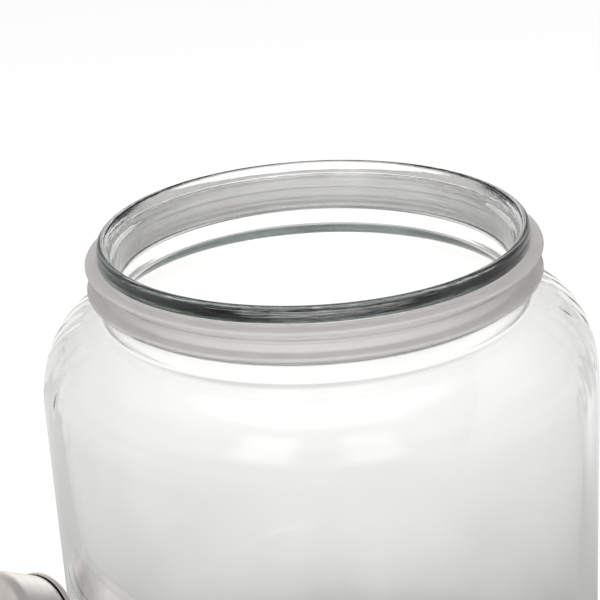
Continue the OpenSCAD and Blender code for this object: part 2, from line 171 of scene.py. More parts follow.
# ---------------------------------------------------------------------------
# Light
# ---------------------------------------------------------------------------

# Brightness of the floor as glass and metal see it, by distance from the jar's axis in metres.
# It is darkest in a ring round the foot, and passes plain white, 1, far out.
# Painted shadow: the dark ring round the foot stands in for the jar's shadow on the floor
FLOOR_SHEEN = [(0.0, 0.66), (0.068, 0.56), (0.096, 0.12), (0.115, 0.07), (0.14, 0.36), (0.18, 0.72),
               (0.206, 0.84), (0.235, 0.91), (0.27, 0.97), (0.34, 1.09), (0.41, 1.16)]
SHEEN_LIMIT = 1.2
# Floor's radius and how far it lies under the foot, in metres, its colour, and what the camera
# alone sees on top of that
FLOOR_R = 4.0
FLOOR_DROP = 0.0002
FLOOR_TONE = 0.8
FLOOR_LIFT = 0.6
# Even light from all round. With the lamps it lights a matt surface at a level of 1, so that a
# colour renders as it is written.
AMBIENT = 0.4
# Lamps: name, azimuth and elevation in degrees, distance, width and height in metres, watts
SOFT_BOXES = [("left_box", -25, 28, 1.4, 0.72, 1.2, 6.5), ("right_box", 19, 28, 1.4, 0.6, 1.2, 5.5),
              ("top_box", 0, 80, 1.6, 0.5, 0.5, 1.9)]
LAMP_AIM_Z = 0.15
# How the room's brightness falls off from the lit background behind the jar to the sides and
# the camera's end, for mirrors and glass. Angles in degrees from straight behind the jar.
# Every level is multiplied by ROOM_TONE.
ROOM_TONE = 0.8
BACK_LEVEL = 1.1
SIDE_LEVEL = 0.6
FRONT_LEVEL = 0.4
# The same two where nothing has been reflected on the way, so that glass looks clear
CLEAR_SIDE = 0.66
CLEAR_FRONT = 0.9
BACK_MIDDLE = 2
BACK_EDGE = (4, 52)
FRONT_EDGE = (95, 135)
CEILING = 0.5
# Soft boxes as mirrors and glass see them: middle and half width of azimuth, low and high
# elevation in degrees, and brightness. Azimuth 0 is the camera's side, positive to the right.
PANELS = [(-25, 13, 10, 46, 1.4), (19, 11, 10, 46, 1.2), (0, 180, 62, 110, 1.3)]

# ---------------------------------------------------------------------------
# Mesh helpers
# ---------------------------------------------------------------------------


def arc(x, z, rx, rz, start, end, steps):
    """Points of an elliptical arc, with its angles in degrees."""
    points = []
    for i in range(steps + 1):
        t = math.radians(start + (end - start) * i / steps)
        points.append((x + rx * math.cos(t), z + rz * math.sin(t)))
    return points


def shoulder(wall_r, height, neck_r, blend, steps, blend_steps):
    """Points of a shoulder's curve from the wall up, and of the round that takes it into the neck."""
    w = wall_r - CROWN_R
    power = 2 / SHOULDER_N

    def lean(r):
        u = (r - CROWN_R) / w
        v = (1 - u ** SHOULDER_N) ** (1 / SHOULDER_N)
        return math.atan2(v ** (SHOULDER_N - 1) / height, u ** (SHOULDER_N - 1) / w)

    r = neck_r + blend / 2
    for _ in range(6):
        r = neck_r + blend * (1 - math.cos(lean(r)))
    end = math.acos(((r - CROWN_R) / w) ** (1 / power))
    points = []
    for i in range(steps + 1):
        t = end * i / steps
        points.append((CROWN_R + w * math.cos(t) ** power, SHOULDER_BOTTOM + height * math.sin(t) ** power))
    tilt = math.degrees(lean(r))
    middle_z = points[-1][1] + blend * math.sin(lean(r))
    return points + arc(neck_r + blend, middle_z, blend, blend, 180 + tilt, 180, blend_steps)[1:]


def spaced(points, step):
    """The same outline with no stretch longer than step."""
    out = [points[0]]
    for a, b in zip(points, points[1:]):
        n = max(1, math.ceil(math.dist(a, b) / step))
        out += [(a[0] + (b[0] - a[0]) * i / n, a[1] + (b[1] - a[1]) * i / n) for i in range(1, n + 1)]
    return [p for i, p in enumerate(out) if i == 0 or math.dist(p, out[i - 1]) > 1e-4]


def lathe(name, outline, segments, closed=False, shift=None):
    """A smooth turned mesh from (radius, height) points in millimetres; shift moves single points."""
    bm = bmesh.new()
    uv = bm.loops.layers.uv.new("round")
    rings = []
    for k, (r, z) in enumerate(outline):
        if r < 1e-6:
            rings.append([bm.verts.new((0, 0, z * MM))])
            continue
        ring = []
        for i in range(segments):
            a = 2 * math.pi * i / segments
            p = Vector((r * math.cos(a), r * math.sin(a), z))
            if shift:
                p = shift(p, k)
            ring.append(bm.verts.new(p * MM))
        rings.append(ring)
    pairs = list(zip(rings, rings[1:]))
    if closed:
        pairs.append((rings[-1], rings[0]))
    steps = [math.dist(outline[k], outline[(k + 1) % len(outline)]) for k in range(len(pairs))]
    runs = [sum(steps[:k]) for k in range(len(steps) + 1)]
    for row, (a, b) in enumerate(pairs):
        for i in range(segments):
            j = (i + 1) % segments
            if len(a) == 1 and len(b) == 1:
                continue
            if len(a) == 1:
                corners = [a[0], b[j], b[i]]
            elif len(b) == 1:
                corners = [a[i], a[j], b[0]]
            else:
                corners = [a[i], a[j], b[j], b[i]]
            face = bm.faces.new(corners)
            face.smooth = True
            for loop in face.loops:
                at = i + 1 if loop.vert in (a[j % len(a)], b[j % len(b)]) and len(a) + len(b) > 2 else i
                far = loop.vert in b
                loop[uv].uv = (at / segments, (runs[row + 1] if far else runs[row]) / runs[-1])
    bmesh.ops.recalc_face_normals(bm, faces=bm.faces)
    mesh = bpy.data.meshes.new(name)
    bm.to_mesh(mesh)
    bm.free()
    obj = bpy.data.objects.new(name, mesh)
    scene.collection.objects.link(obj)
    return obj


def smooth_step(x):
    x = min(max(x, 0.0), 1.0)
    return x * x * (3 - 2 * x)


def cut(obj, cutter):
    """Takes cutter's shape out of obj and deletes cutter."""
    mod = obj.modifiers.new("cut", "BOOLEAN")
    mod.operation = "DIFFERENCE"
    mod.solver = "EXACT"
    mod.object = cutter
    dg = bpy.context.evaluated_depsgraph_get()
    mesh = bpy.data.meshes.new_from_object(obj.evaluated_get(dg))
    obj.modifiers.clear()
    old = obj.data
    obj.data = mesh
    bpy.data.meshes.remove(old)
    bpy.data.objects.remove(cutter)


def rod(name, radius, start, end, segments=128):
    """A round bar from start to end, in millimetres."""
    bm = bmesh.new()
    length = (end - start).length * MM
    bmesh.ops.create_cone(bm, cap_ends=True, segments=segments, radius1=radius * MM,
                          radius2=radius * MM, depth=length)
    mesh = bpy.data.meshes.new(name)
    bm.to_mesh(mesh)
    bm.free()
    obj = bpy.data.objects.new(name, mesh)
    scene.collection.objects.link(obj)
    way = (end - start).to_track_quat("Z", "Y").to_matrix().to_4x4()
    obj.matrix_world = Matrix.Translation((start + end) / 2 * MM) @ way
    return obj


# ---------------------------------------------------------------------------
# Pieces
# ---------------------------------------------------------------------------


def glass_outline():
    """Half section of the glass and the index of its first inside point."""
    foot_r = JAR_R - HEEL_R
    foot_in = foot_r - FOOT_W
    outer = [(0, PUNT_H), (foot_in - PUNT_W, PUNT_H)]
    outer += arc(foot_in - PUNT_W, 0, PUNT_W, PUNT_H, 88, 4, 20)
    outer += [(foot_in, 0)]
    outer += arc(foot_r, HEEL_R, HEEL_R, HEEL_R, -90, 0, 24)
    outer += shoulder(JAR_R, SHOULDER_H, NECK_R, NECK_ROUND, 48, 8)
    outer += arc(NECK_R - LEDGE_W, GROOVE_BOTTOM - LEDGE_H, LEDGE_W, LEDGE_H, 0, 90, 12)
    outer += [(GROOVE_R, GROOVE_BOTTOM), (GROOVE_R, GROOVE_TOP), (RIM_R - 0.5, GROOVE_TOP)]
    outer += arc(RIM_R - 0.4, GROOVE_TOP + 0.4, 0.4, 0.4, -80, 0, 6)
    outer += arc(CREST_X, CREST_Z, CREST_R, CREST_R, 0, 90, 14)
    heel = HEEL_R - WALL / 2
    inner_r = JAR_R - WALL
    inner = arc(CREST_X, CREST_Z, CREST_R, CREST_R, 96, BEVEL_ANGLE, 9)
    inner += [(MOUTH_R + 0.3, JAR_H - BEVEL_H + 0.42), (MOUTH_R + 0.09, JAR_H - BEVEL_H + 0.05)]
    inner += [(MOUTH_R, JAR_H - BEVEL_H - 0.45)]
    inner += shoulder(inner_r, SHOULDER_H - CROWN_WALL, MOUTH_R, THROAT_ROUND, 48, 16)[::-1]
    inner += arc(inner_r - heel, FLOOR_Z + heel, heel, heel, 0, -90, 24)
    inner += [(0, FLOOR_Z)]
    outer = spaced(outer, JAR_STEP)
    return outer + spaced(inner, JAR_STEP), len(outer)


def make_jar():
    """The jar's glass, uneven as pressed glass is, with the hole for the tap."""
    outline, first_inside = glass_outline()

    def shift(p, k):
        """Unevenness of the glass, and the flat pad for the tap."""
        inside = k >= first_inside
        radial = Vector((p.x, p.y, 0)).normalized()
        calm = smooth_step((JAR_H - 8 - p.z) / 12) * smooth_step((p.z - 14) / 20)
        rim = smooth_step((p.z - GROOVE_TOP) / 1.5)
        ripple = noise.noise(Vector((p.x / 7, p.y / 7, p.z / 5)))
        ripple += 0.5 * noise.noise(Vector((p.x / 3 + 9, p.y / 3, p.z / 3)))
        if inside:
            wave = noise.noise(Vector((p.x / 38, p.y / 38, p.z / 75 + 7)))
            wave += 0.4 * noise.noise(Vector((p.x / 17 + 5, p.y / 17, p.z / 30)))
            fold = noise.noise(Vector((p.x / 26, p.y / 26 + 4, p.z / 3.2)))
            fold *= smooth_step((p.z - SHOULDER_BOTTOM - 3) / 10)
            # Creases that run up the two sides of the shoulder
            crease = noise.noise(Vector((p.x / 8, p.y / 3.4, p.z / 13 + 11)))
            crease *= smooth_step((abs(radial.x) - 0.86) / 0.08) * smooth_step((p.z - SHOULDER_BOTTOM) / 8)
            crease *= smooth_step((GROOVE_BOTTOM - NECK_H - 3 - p.z) / 6)
            p = p + radial * ((WAVE_IN * wave + FOLD_IN * fold) * calm + RIM_RIPPLE_IN * ripple * rim
                              + CREASE_IN * crease)
        else:
            wave = noise.noise(Vector((p.x / 45, p.y / 45 + 3, p.z / 80)))
            p = p - radial * (WAVE_OUT * (1 + wave) * calm + RIM_RIPPLE_OUT * (1 + ripple) * rim)
        off = math.hypot(p.x, p.z - TAP_Z)
        if p.y < 0 and off < PAD_R + 10:
            if inside:
                face, reach = -(PAD_FACE - PAD_T), PAD_R - 2
            else:
                face, reach = -PAD_FACE, PAD_R
            weight = 1 - smooth_step((off - reach + 0.5) / 5)
            p = Vector((p.x, p.y + (face - p.y) * weight, p.z))
        return p

    jar = lathe("jar_glass", outline, 288, shift=shift)
    hole = rod("hole", HOLE_R, Vector((0, -PAD_FACE - 3, TAP_Z)), Vector((0, -PAD_FACE + PAD_T + 3, TAP_Z)))
    cut(jar, hole)
    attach(jar, "vessel")
    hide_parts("jar")
    return jar


def collar_outline():
    """Closed section of the collar, from its foot up the outside."""
    out_r = COLLAR_R + COLLAR_WALL
    tip = LIP_T / 2

    def lip(z):
        points = [(out_r, z - LIP_T)]
        points += arc(out_r + 0.35, z - LIP_T + 0.25, 0.35, 0.25, -90, 0, 3)[1:2]
        points += arc(LIP_TIP_R - tip, z - LIP_T * 0.2, tip, tip, -90, 90, 14)
        points += [(out_r + 0.3, z + LIP_T * 0.55), (out_r, z + LIP_T * 0.75)]
        return points

    rib_z = (UPPER_LIP_Z + LOWER_LIP_Z) / 2
    points = [(COLLAR_R, COLLAR_BOTTOM + 0.2)]
    # The foot lies on the rounded ledge
    points += arc(NECK_R - LEDGE_W, GROOVE_BOTTOM - LEDGE_H, LEDGE_W + 0.06, LEDGE_H + 0.06, 88, 30, 10)
    points += [(out_r + 0.06, COLLAR_BOTTOM + 0.2)]
    points += lip(LOWER_LIP_Z)
    points += arc(out_r, rib_z, 0.45, 0.45, -90, 90, 10)
    points += lip(UPPER_LIP_Z)
    points += [(out_r - 0.3, COLLAR_TOP), (COLLAR_R + 0.2, COLLAR_TOP), (COLLAR_R, COLLAR_TOP - 0.2)]
    return spaced(points, COLLAR_STEP)


def make_collar():
    def shift(p, k):
        stand = smooth_step((math.hypot(p.x, p.y) - COLLAR_R - COLLAR_WALL) / 3.5)
        sway = noise.noise(Vector((p.x / 30, p.y / 30, 2.0)))
        return p + Vector((0, 0, LIP_SWAY * sway * stand))

    collar = lathe("neck_seal", collar_outline(), 256, closed=True, shift=shift)
    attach(collar, "vessel")
    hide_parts("neck_collar")
    return collar


def lid_outline():
    """Closed section of the lid, from the inside of its roll over the top and back."""
    skirt_r = SKIRT_IN_R + SHEET_T
    top = SKIRT_H - ROLL_R
    mid_r = SKIRT_IN_R + ROLL_R
    c = LID_CORNER_R
    panel_r = skirt_r - PANEL_BORDER
    step_r = panel_r - PANEL_DEPTH - 0.6
    points = arc(mid_r, 0, ROLL_R, ROLL_R, 180, 468, 32)
    points += [(skirt_r - 0.35, ROLL_R - 0.04), (skirt_r - 0.35, ROLL_R + 0.08)]
    points += arc(skirt_r - 0.3, ROLL_R + 0.4, 0.3, 0.3, -80, 0, 5)
    points += arc(skirt_r - c, top - c, c, c, 0, 90, 12)
    points += arc(panel_r, top - 0.5, 0.5, 0.5, 90, 135, 4)
    points += arc(step_r, top - PANEL_DEPTH + 0.5, 0.5, 0.5, -45, -90, 4)
    points += [(0, top - PANEL_DEPTH), (0, top - PANEL_DEPTH - SHEET_T)]
    points += arc(step_r - 0.3, top - PANEL_DEPTH - SHEET_T + 0.5, 0.5, 0.5, -90, -45, 4)
    points += arc(panel_r - 0.3, top - SHEET_T - 0.5, 0.5, 0.5, 135, 90, 4)
    points += arc(skirt_r - c, top - c, c - SHEET_T, c - SHEET_T, 90, 0, 12)
    points += [(SKIRT_IN_R, ROLL_R)]
    return spaced(points, LID_STEP)


def share_at(outline, spot):
    """How far along a closed outline its point nearest to a spot lies, from 0 to 1."""
    steps = [math.dist(a, b) for a, b in zip(outline, outline[1:] + outline[:1])]
    at = min(range(len(outline)), key=lambda k: math.dist(outline[k], spot))
    return sum(steps[:at]) / sum(steps)


def lid_place():
    """Matrix from the lid's own frame to where it leans."""
    roll_mid = SKIRT_IN_R + ROLL_R
    reach = JAR_R + LEAN_GAP + ROLL_R + roll_mid * math.sin(LID_LEAN)
    place = Vector((-reach * math.cos(LID_TURN), -reach * math.sin(LID_TURN),
                    ROLL_R + roll_mid * math.cos(LID_LEAN)))
    tilt = Matrix.Rotation(LID_LEAN - math.pi / 2, 4, "Y")
    return Matrix.Translation(place * MM) @ Matrix.Rotation(LID_TURN, 4, "Z") @ tilt


def make_lid():
    lid = lathe("lid_shell", lid_outline(), 256, closed=True)
    lid.data.transform(lid_place())
    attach(lid, "loose_lid")
    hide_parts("lid")
    return lid


# ---------------------------------------------------------------------------
# Shader helpers and node groups
# ---------------------------------------------------------------------------


def feed(tree, socket, value):
    """Sets a socket to a plain value or links it to an output."""
    if isinstance(value, bpy.types.NodeSocket):
        tree.links.new(value, socket)
    elif value is not None:
        socket.default_value = value


def math_node(tree, operation, a, b=None):
    node = tree.nodes.new("ShaderNodeMath")
    node.operation = operation
    feed(tree, node.inputs[0], a)
    feed(tree, node.inputs[1], b)
    return node.outputs[0]


def vector_node(tree, operation, a, b=None):
    node = tree.nodes.new("ShaderNodeVectorMath")
    node.operation = operation
    feed(tree, node.inputs[0], a)
    feed(tree, node.inputs[1], b)
    return node.outputs["Value"] if operation == "LENGTH" else node.outputs["Vector"]


def join_node(tree, x, y, z):
    node = tree.nodes.new("ShaderNodeCombineXYZ")
    for socket, value in zip(node.inputs, (x, y, z)):
        feed(tree, socket, value)
    return node.outputs[0]


def split_node(tree, vector):
    node = tree.nodes.new("ShaderNodeSeparateXYZ")
    tree.links.new(vector, node.inputs[0])
    return node.outputs


def ease_node(tree, value, low, high, out_low=0.0, out_high=1.0):
    """Soft step of a value from low to high."""
    node = tree.nodes.new("ShaderNodeMapRange")
    node.interpolation_type = "SMOOTHSTEP"
    for label, number in (("Value", value), ("From Min", low), ("From Max", high),
                          ("To Min", out_low), ("To Max", out_high)):
        feed(tree, node.inputs[label], number)
    return node.outputs["Result"]


def noise_node(tree, vector, scale, detail=2.0, roughness=0.5, distortion=0.0):
    node = tree.nodes.new("ShaderNodeTexNoise")
    feed(tree, node.inputs["Vector"], vector)
    feed(tree, node.inputs["Scale"], scale)
    feed(tree, node.inputs["Detail"], detail)
    feed(tree, node.inputs["Roughness"], roughness)
    feed(tree, node.inputs["Distortion"], distortion)
    return node.outputs[0]


def mix_node(tree, factor, a, b):
    node = tree.nodes.new("ShaderNodeMix")
    node.data_type = "RGBA"
    feed(tree, node.inputs[0], factor)
    feed(tree, node.inputs[6], (*a, 1) if isinstance(a, tuple) else a)
    feed(tree, node.inputs[7], (*b, 1) if isinstance(b, tuple) else b)
    return node.outputs[2]


def bump_node(tree, height, depth):
    """Normal of a relief that is depth metres deep."""
    node = tree.nodes.new("ShaderNodeBump")
    node.inputs["Distance"].default_value = depth
    tree.links.new(height, node.inputs["Height"])
    return node.outputs["Normal"]


def new_group(name, inputs, outputs):
    """An empty node group with float sockets, and vector sockets where the default is a triple."""
    group = bpy.data.node_groups.new(name, "ShaderNodeTree")
    for label, value in inputs:
        kind = "NodeSocketVector" if isinstance(value, tuple) else "NodeSocketFloat"
        group.interface.new_socket(label, in_out="INPUT", socket_type=kind).default_value = value
    for label in outputs:
        group.interface.new_socket(label, in_out="OUTPUT", socket_type="NodeSocketFloat")
    start = group.nodes.new("NodeGroupInput")
    end = group.nodes.new("NodeGroupOutput")
    return group, start.outputs, end.inputs


def use_group(tree, name, **values):
    node = tree.nodes.new("ShaderNodeGroup")
    node.node_tree = bpy.data.node_groups[name]
    for label, value in values.items():
        feed(tree, node.inputs[label], value)
    return node.outputs


def make_round_place():
    """Angle, radius and height of a point about an upright axis."""
    g, start, end = new_group("round_place", [("Point", (0, 0, 0)), ("Middle", (0, 0, 0))],
                              ["Angle", "Radius", "Along"])
    x, y, z = split_node(g, vector_node(g, "SUBTRACT", start["Point"], start["Middle"]))
    g.links.new(math_node(g, "ARCTAN2", y, x), end["Angle"])
    g.links.new(vector_node(g, "LENGTH", join_node(g, x, y, 0.0)), end["Radius"])
    g.links.new(z, end["Along"])


def make_turned_lines():
    """Fine lines round an axis, as a lathe or a brush leaves them."""
    g, start, end = new_group("turned_lines", [("Angle", 0.0), ("Across", 0.0), ("Fineness", 5000.0),
                                               ("Streak", 2.0)], ["Height", "Tone"])
    x = math_node(g, "MULTIPLY", math_node(g, "COSINE", start["Angle"]), start["Streak"])
    y = math_node(g, "MULTIPLY", math_node(g, "SINE", start["Angle"]), start["Streak"])
    z = math_node(g, "MULTIPLY", start["Across"], start["Fineness"])
    g.links.new(noise_node(g, join_node(g, x, y, z), 1.0, 4.0, 0.65), end["Height"])
    broad = math_node(g, "MULTIPLY", z, 0.06)
    g.links.new(noise_node(g, join_node(g, x, y, broad), 1.7, 2.0, 0.5), end["Tone"])


def make_handled_marks():
    """Smudges where hands have been, with a broken grain inside them."""
    g, start, end = new_group("handled_marks", [("Point", (0, 0, 0)), ("Closeness", 60.0)], ["Mask"])
    patch = ease_node(g, noise_node(g, start["Point"], start["Closeness"], 3.0, 0.55, 0.6), 0.5, 0.68)
    grain_scale = math_node(g, "MULTIPLY", start["Closeness"], 11.0)
    grain = ease_node(g, noise_node(g, start["Point"], grain_scale, 3.0, 0.7), 0.3, 0.65, 0.35, 1.0)
    g.links.new(math_node(g, "MULTIPLY", patch, grain), end["Mask"])


def make_settled_dust():
    """Thin dust on faces that look up."""
    g, start, end = new_group("settled_dust", [("Point", (0, 0, 0)), ("Amount", 0.3)], ["Mask"])
    geometry = g.nodes.new("ShaderNodeNewGeometry")
    up = ease_node(g, split_node(g, geometry.outputs["Normal"])["Z"], 0.55, 0.98)
    specks = ease_node(g, noise_node(g, start["Point"], 900.0, 2.0, 0.8), 0.42, 0.7, 0.25, 1.0)
    patchy = ease_node(g, noise_node(g, start["Point"], 45.0, 2.0, 0.5), 0.3, 0.7, 0.4, 1.0)
    mask = math_node(g, "MULTIPLY", math_node(g, "MULTIPLY", up, specks), patchy)
    g.links.new(math_node(g, "MULTIPLY", mask, start["Amount"]), end["Mask"])


def make_moulded_skin():
    """Skin of a moulded part: a fine even grain over a slow unevenness."""
    g, start, end = new_group("moulded_skin", [("Point", (0, 0, 0)), ("Grain", 2500.0)],
                              ["Height", "Mottle"])
    fine = noise_node(g, start["Point"], start["Grain"], 2.0, 0.6)
    slow_scale = math_node(g, "MULTIPLY", start["Grain"], 0.05)
    slow = noise_node(g, start["Point"], slow_scale, 2.0, 0.5)
    g.links.new(math_node(g, "ADD", math_node(g, "MULTIPLY", fine, 0.6),
                          math_node(g, "MULTIPLY", slow, 0.4)), end["Height"])
    g.links.new(slow, end["Mottle"])


def make_cast_glass():
    """Slow unevenness of pressed glass, drag lines where the rim was fire-polished, and the faint
    film that handling leaves."""
    g, start, end = new_group("cast_glass", [("Point", (0, 0, 0)), ("Rim Height", 0.2)],
                              ["Wave", "Film"])
    tall = vector_node(g, "MULTIPLY", start["Point"], (1.0, 1.0, 0.45))
    slow = noise_node(g, tall, 32.0, 1.0, 0.4)
    quick = noise_node(g, tall, 110.0, 1.0, 0.4)
    x, y, z = split_node(g, start["Point"])
    across = math_node(g, "ADD", z, vector_node(g, "LENGTH", join_node(g, x, y, 0.0)))
    drag = noise_node(g, join_node(g, math_node(g, "MULTIPLY", x, 70.0), math_node(g, "MULTIPLY", y, 70.0),
                                   math_node(g, "MULTIPLY", across, 1900.0)), 1.0, 2.0, 0.55)
    at_rim = ease_node(g, z, start["Rim Height"], math_node(g, "ADD", start["Rim Height"], 0.0015))
    wave = math_node(g, "ADD", slow, math_node(g, "MULTIPLY", quick, 0.12))
    lines = math_node(g, "MULTIPLY", math_node(g, "MULTIPLY", drag, at_rim), 0.25)
    g.links.new(math_node(g, "ADD", wave, lines), end["Wave"])
    film = ease_node(g, noise_node(g, start["Point"], 38.0, 4.0, 0.6, 0.8), 0.52, 0.75)
    g.links.new(film, end["Film"])


def make_soft_panel():
    """Brightness of a soft box in a direction, with soft edges; angles in degrees."""
    g, start, end = new_group("soft_panel", [("Azimuth", 0.0), ("Elevation", 0.0), ("Middle", 0.0),
                                             ("Half Width", 10.0), ("Low", 0.0), ("High", 40.0),
                                             ("Edge", 6.0)], ["Level"])
    off = math_node(g, "ABSOLUTE", math_node(g, "SUBTRACT", start["Azimuth"], start["Middle"]))
    inner = math_node(g, "SUBTRACT", start["Half Width"], start["Edge"])
    outer = math_node(g, "ADD", start["Half Width"], start["Edge"])
    side = ease_node(g, off, inner, outer, 1.0, 0.0)
    low = ease_node(g, start["Elevation"], math_node(g, "SUBTRACT", start["Low"], start["Edge"]),
                    math_node(g, "ADD", start["Low"], start["Edge"]))
    high = ease_node(g, start["Elevation"], math_node(g, "SUBTRACT", start["High"], start["Edge"]),
                     math_node(g, "ADD", start["High"], start["Edge"]), 1.0, 0.0)
    g.links.new(math_node(g, "MULTIPLY", side, math_node(g, "MULTIPLY", low, high)), end["Level"])


def make_room_falloff():
    """Brightness of the room by the angle from straight behind the jar, in degrees, positive to
    the right."""
    g, start, end = new_group("room_falloff", [("Angle", 0.0), ("Side", 0.5), ("Front", 0.4)], ["Level"])
    angle = math_node(g, "ABSOLUTE", math_node(g, "SUBTRACT", start["Angle"], float(BACK_MIDDLE)))
    to_side = ease_node(g, angle, float(BACK_EDGE[0]), float(BACK_EDGE[1]))
    to_front = ease_node(g, angle, float(FRONT_EDGE[0]), float(FRONT_EDGE[1]))
    side = math_node(g, "MULTIPLY", to_side, math_node(g, "SUBTRACT", start["Side"], 1.0))
    front = math_node(g, "MULTIPLY", to_front, math_node(g, "SUBTRACT", start["Front"], start["Side"]))
    g.links.new(math_node(g, "ADD", math_node(g, "ADD", side, front), 1.0), end["Level"])


# ---------------------------------------------------------------------------
# Materials
# ---------------------------------------------------------------------------


def new_material(name):
    mat = bpy.data.materials.new(name)
    mat.use_nodes = True
    tree = mat.node_tree
    tree.nodes.clear()
    out = tree.nodes.new("ShaderNodeOutputMaterial")
    shader = tree.nodes.new("ShaderNodeBsdfPrincipled")
    tree.links.new(shader.outputs["BSDF"], out.inputs["Surface"])
    point = tree.nodes.new("ShaderNodeTexCoord").outputs["Object"]
    return mat, tree, shader, point


def dress(obj, mat):
    obj.data.materials.clear()
    obj.data.materials.append(mat)


def turned_about(tree, point, axis, middle):
    """Angle, radius and distance along an axis through middle."""
    if axis == "Y":
        x, y, z = split_node(tree, point)
        point = join_node(tree, z, x, y)
        middle = (middle[2], middle[0], middle[1])
    return use_group(tree, "round_place", Point=point, Middle=middle)


def glass_material():
    """Clear glass with a faint green tint in its thickness, which lets the lamps' light pass."""
    mat, tree, shader, point = new_material("clear_glass")
    cast = use_group(tree, "cast_glass", Point=point, **{"Rim Height": (GROOVE_TOP - 0.4) * MM})
    shader.inputs["Base Color"].default_value = (0.992, 0.992, 0.99, 1)
    shader.inputs["IOR"].default_value = 1.52
    shader.inputs["Transmission Weight"].default_value = 1.0
    tree.links.new(math_node(tree, "MULTIPLY", cast["Film"], 0.02), shader.inputs["Roughness"])
    tree.links.new(bump_node(tree, cast["Wave"], 0.0001), shader.inputs["Normal"])
    # Lamps shine through the glass and leave a faint shadow
    passing = tree.nodes.new("ShaderNodeBsdfTransparent")
    passing.inputs["Color"].default_value = (0.86, 0.88, 0.87, 1)
    light_path = tree.nodes.new("ShaderNodeLightPath")
    mix = tree.nodes.new("ShaderNodeMixShader")
    tree.links.new(light_path.outputs["Is Shadow Ray"], mix.inputs["Fac"])
    tree.links.new(shader.outputs["BSDF"], mix.inputs[1])
    tree.links.new(passing.outputs[0], mix.inputs[2])
    tint = tree.nodes.new("ShaderNodeVolumeAbsorption")
    tint.inputs["Color"].default_value = (0.74, 0.86, 0.845, 1)
    tint.inputs["Density"].default_value = 4.2
    out = next(n for n in tree.nodes if n.bl_idname == "ShaderNodeOutputMaterial")
    tree.links.new(mix.outputs[0], out.inputs["Surface"])
    tree.links.new(tint.outputs[0], out.inputs["Volume"])
    return mat


def silicone_material(name, clearness, tone, grain):
    """Translucent moulded silicone, a little cloudy in places."""
    mat, tree, shader, point = new_material(name)
    skin = use_group(tree, "moulded_skin", Point=point, Grain=grain)
    dust = use_group(tree, "settled_dust", Point=point, Amount=0.35)
    shade = tuple(c * 0.955 for c in tone)
    cloudy = mix_node(tree, ease_node(tree, skin["Mottle"], 0.35, 0.65), shade, tone)
    tree.links.new(mix_node(tree, dust["Mask"], cloudy, (0.97, 0.95, 0.92)), shader.inputs["Base Color"])
    tree.links.new(ease_node(tree, skin["Mottle"], 0.3, 0.7, 0.38, 0.52), shader.inputs["Roughness"])
    tree.links.new(bump_node(tree, skin["Height"], 0.00003), shader.inputs["Normal"])
    shader.inputs["IOR"].default_value = 1.41
    shader.inputs["Transmission Weight"].default_value = clearness
    return mat


def brushed_lid_material():
    """Sheet steel, brushed round the skirt and the top, with hand smudges and a painted shade line in the
    crease where the skirt meets the rolled edge.
    """
    mat, tree, shader, point = new_material("brushed_lid_steel")
    place = tree.nodes.new("ShaderNodeUVMap")
    place.uv_map = "round"
    u, v, _ = split_node(tree, place.outputs[0])
    lines = use_group(tree, "turned_lines", Angle=math_node(tree, "MULTIPLY", u, 2 * math.pi),
                      Across=v, Fineness=900.0, Streak=1.6)
    marks = use_group(tree, "handled_marks", Point=point, Closeness=55.0)
    dust = use_group(tree, "settled_dust", Point=point, Amount=0.12)
    crease = share_at(lid_outline(), (SKIRT_IN_R + SHEET_T - 0.35, ROLL_R))
    # Painted shade: a near-black line along the crease above the rolled edge, standing in for the shade that
    # falls in it
    painted_crease_shade = ease_node(tree, math_node(tree, "ABSOLUTE", math_node(tree, "SUBTRACT", v, crease)),
                      0.0038, 0.0052, 1.0, 0.0)
    metal = mix_node(tree, lines["Tone"], (0.78, 0.74, 0.715), (0.89, 0.85, 0.82))
    metal = mix_node(tree, math_node(tree, "MULTIPLY", marks["Mask"], 0.4), metal, (0.66, 0.61, 0.57))
    metal = mix_node(tree, dust["Mask"], metal, (0.8, 0.78, 0.75))
    tree.links.new(mix_node(tree, painted_crease_shade, metal, (0.02, 0.02, 0.02)), shader.inputs["Base Color"])
    rough = math_node(tree, "ADD", ease_node(tree, lines["Height"], 0.25, 0.75, 0.17, 0.27),
                      math_node(tree, "MULTIPLY", marks["Mask"], 0.1))
    tree.links.new(rough, shader.inputs["Roughness"])
    tree.links.new(bump_node(tree, lines["Height"], 0.000012), shader.inputs["Normal"])
    shader.inputs["Metallic"].default_value = 1.0
    return mat


def turned_steel_material(name, dark, light, rough, axis, middle, fineness, wear):
    """Turned or polished steel with fine lines round its axis."""
    mat, tree, shader, point = new_material(name)
    place = turned_about(tree, point, axis, middle)
    across = math_node(tree, "ADD", place["Along"], math_node(tree, "MULTIPLY", place["Radius"], 1.3))
    lines = use_group(tree, "turned_lines", Angle=place["Angle"], Across=across,
                      Fineness=fineness, Streak=1.3)
    marks = use_group(tree, "handled_marks", Point=point, Closeness=160.0)
    metal = mix_node(tree, lines["Tone"], dark, light)
    worn = tuple(c * 0.82 for c in dark)
    metal = mix_node(tree, math_node(tree, "MULTIPLY", marks["Mask"], wear), metal, worn)
    tree.links.new(metal, shader.inputs["Base Color"])
    tree.links.new(math_node(tree, "ADD", ease_node(tree, lines["Height"], 0.25, 0.75, rough[0], rough[1]),
                             math_node(tree, "MULTIPLY", marks["Mask"], 0.14)), shader.inputs["Roughness"])
    tree.links.new(bump_node(tree, lines["Height"], 0.000008), shader.inputs["Normal"])
    shader.inputs["Metallic"].default_value = 1.0
    return mat


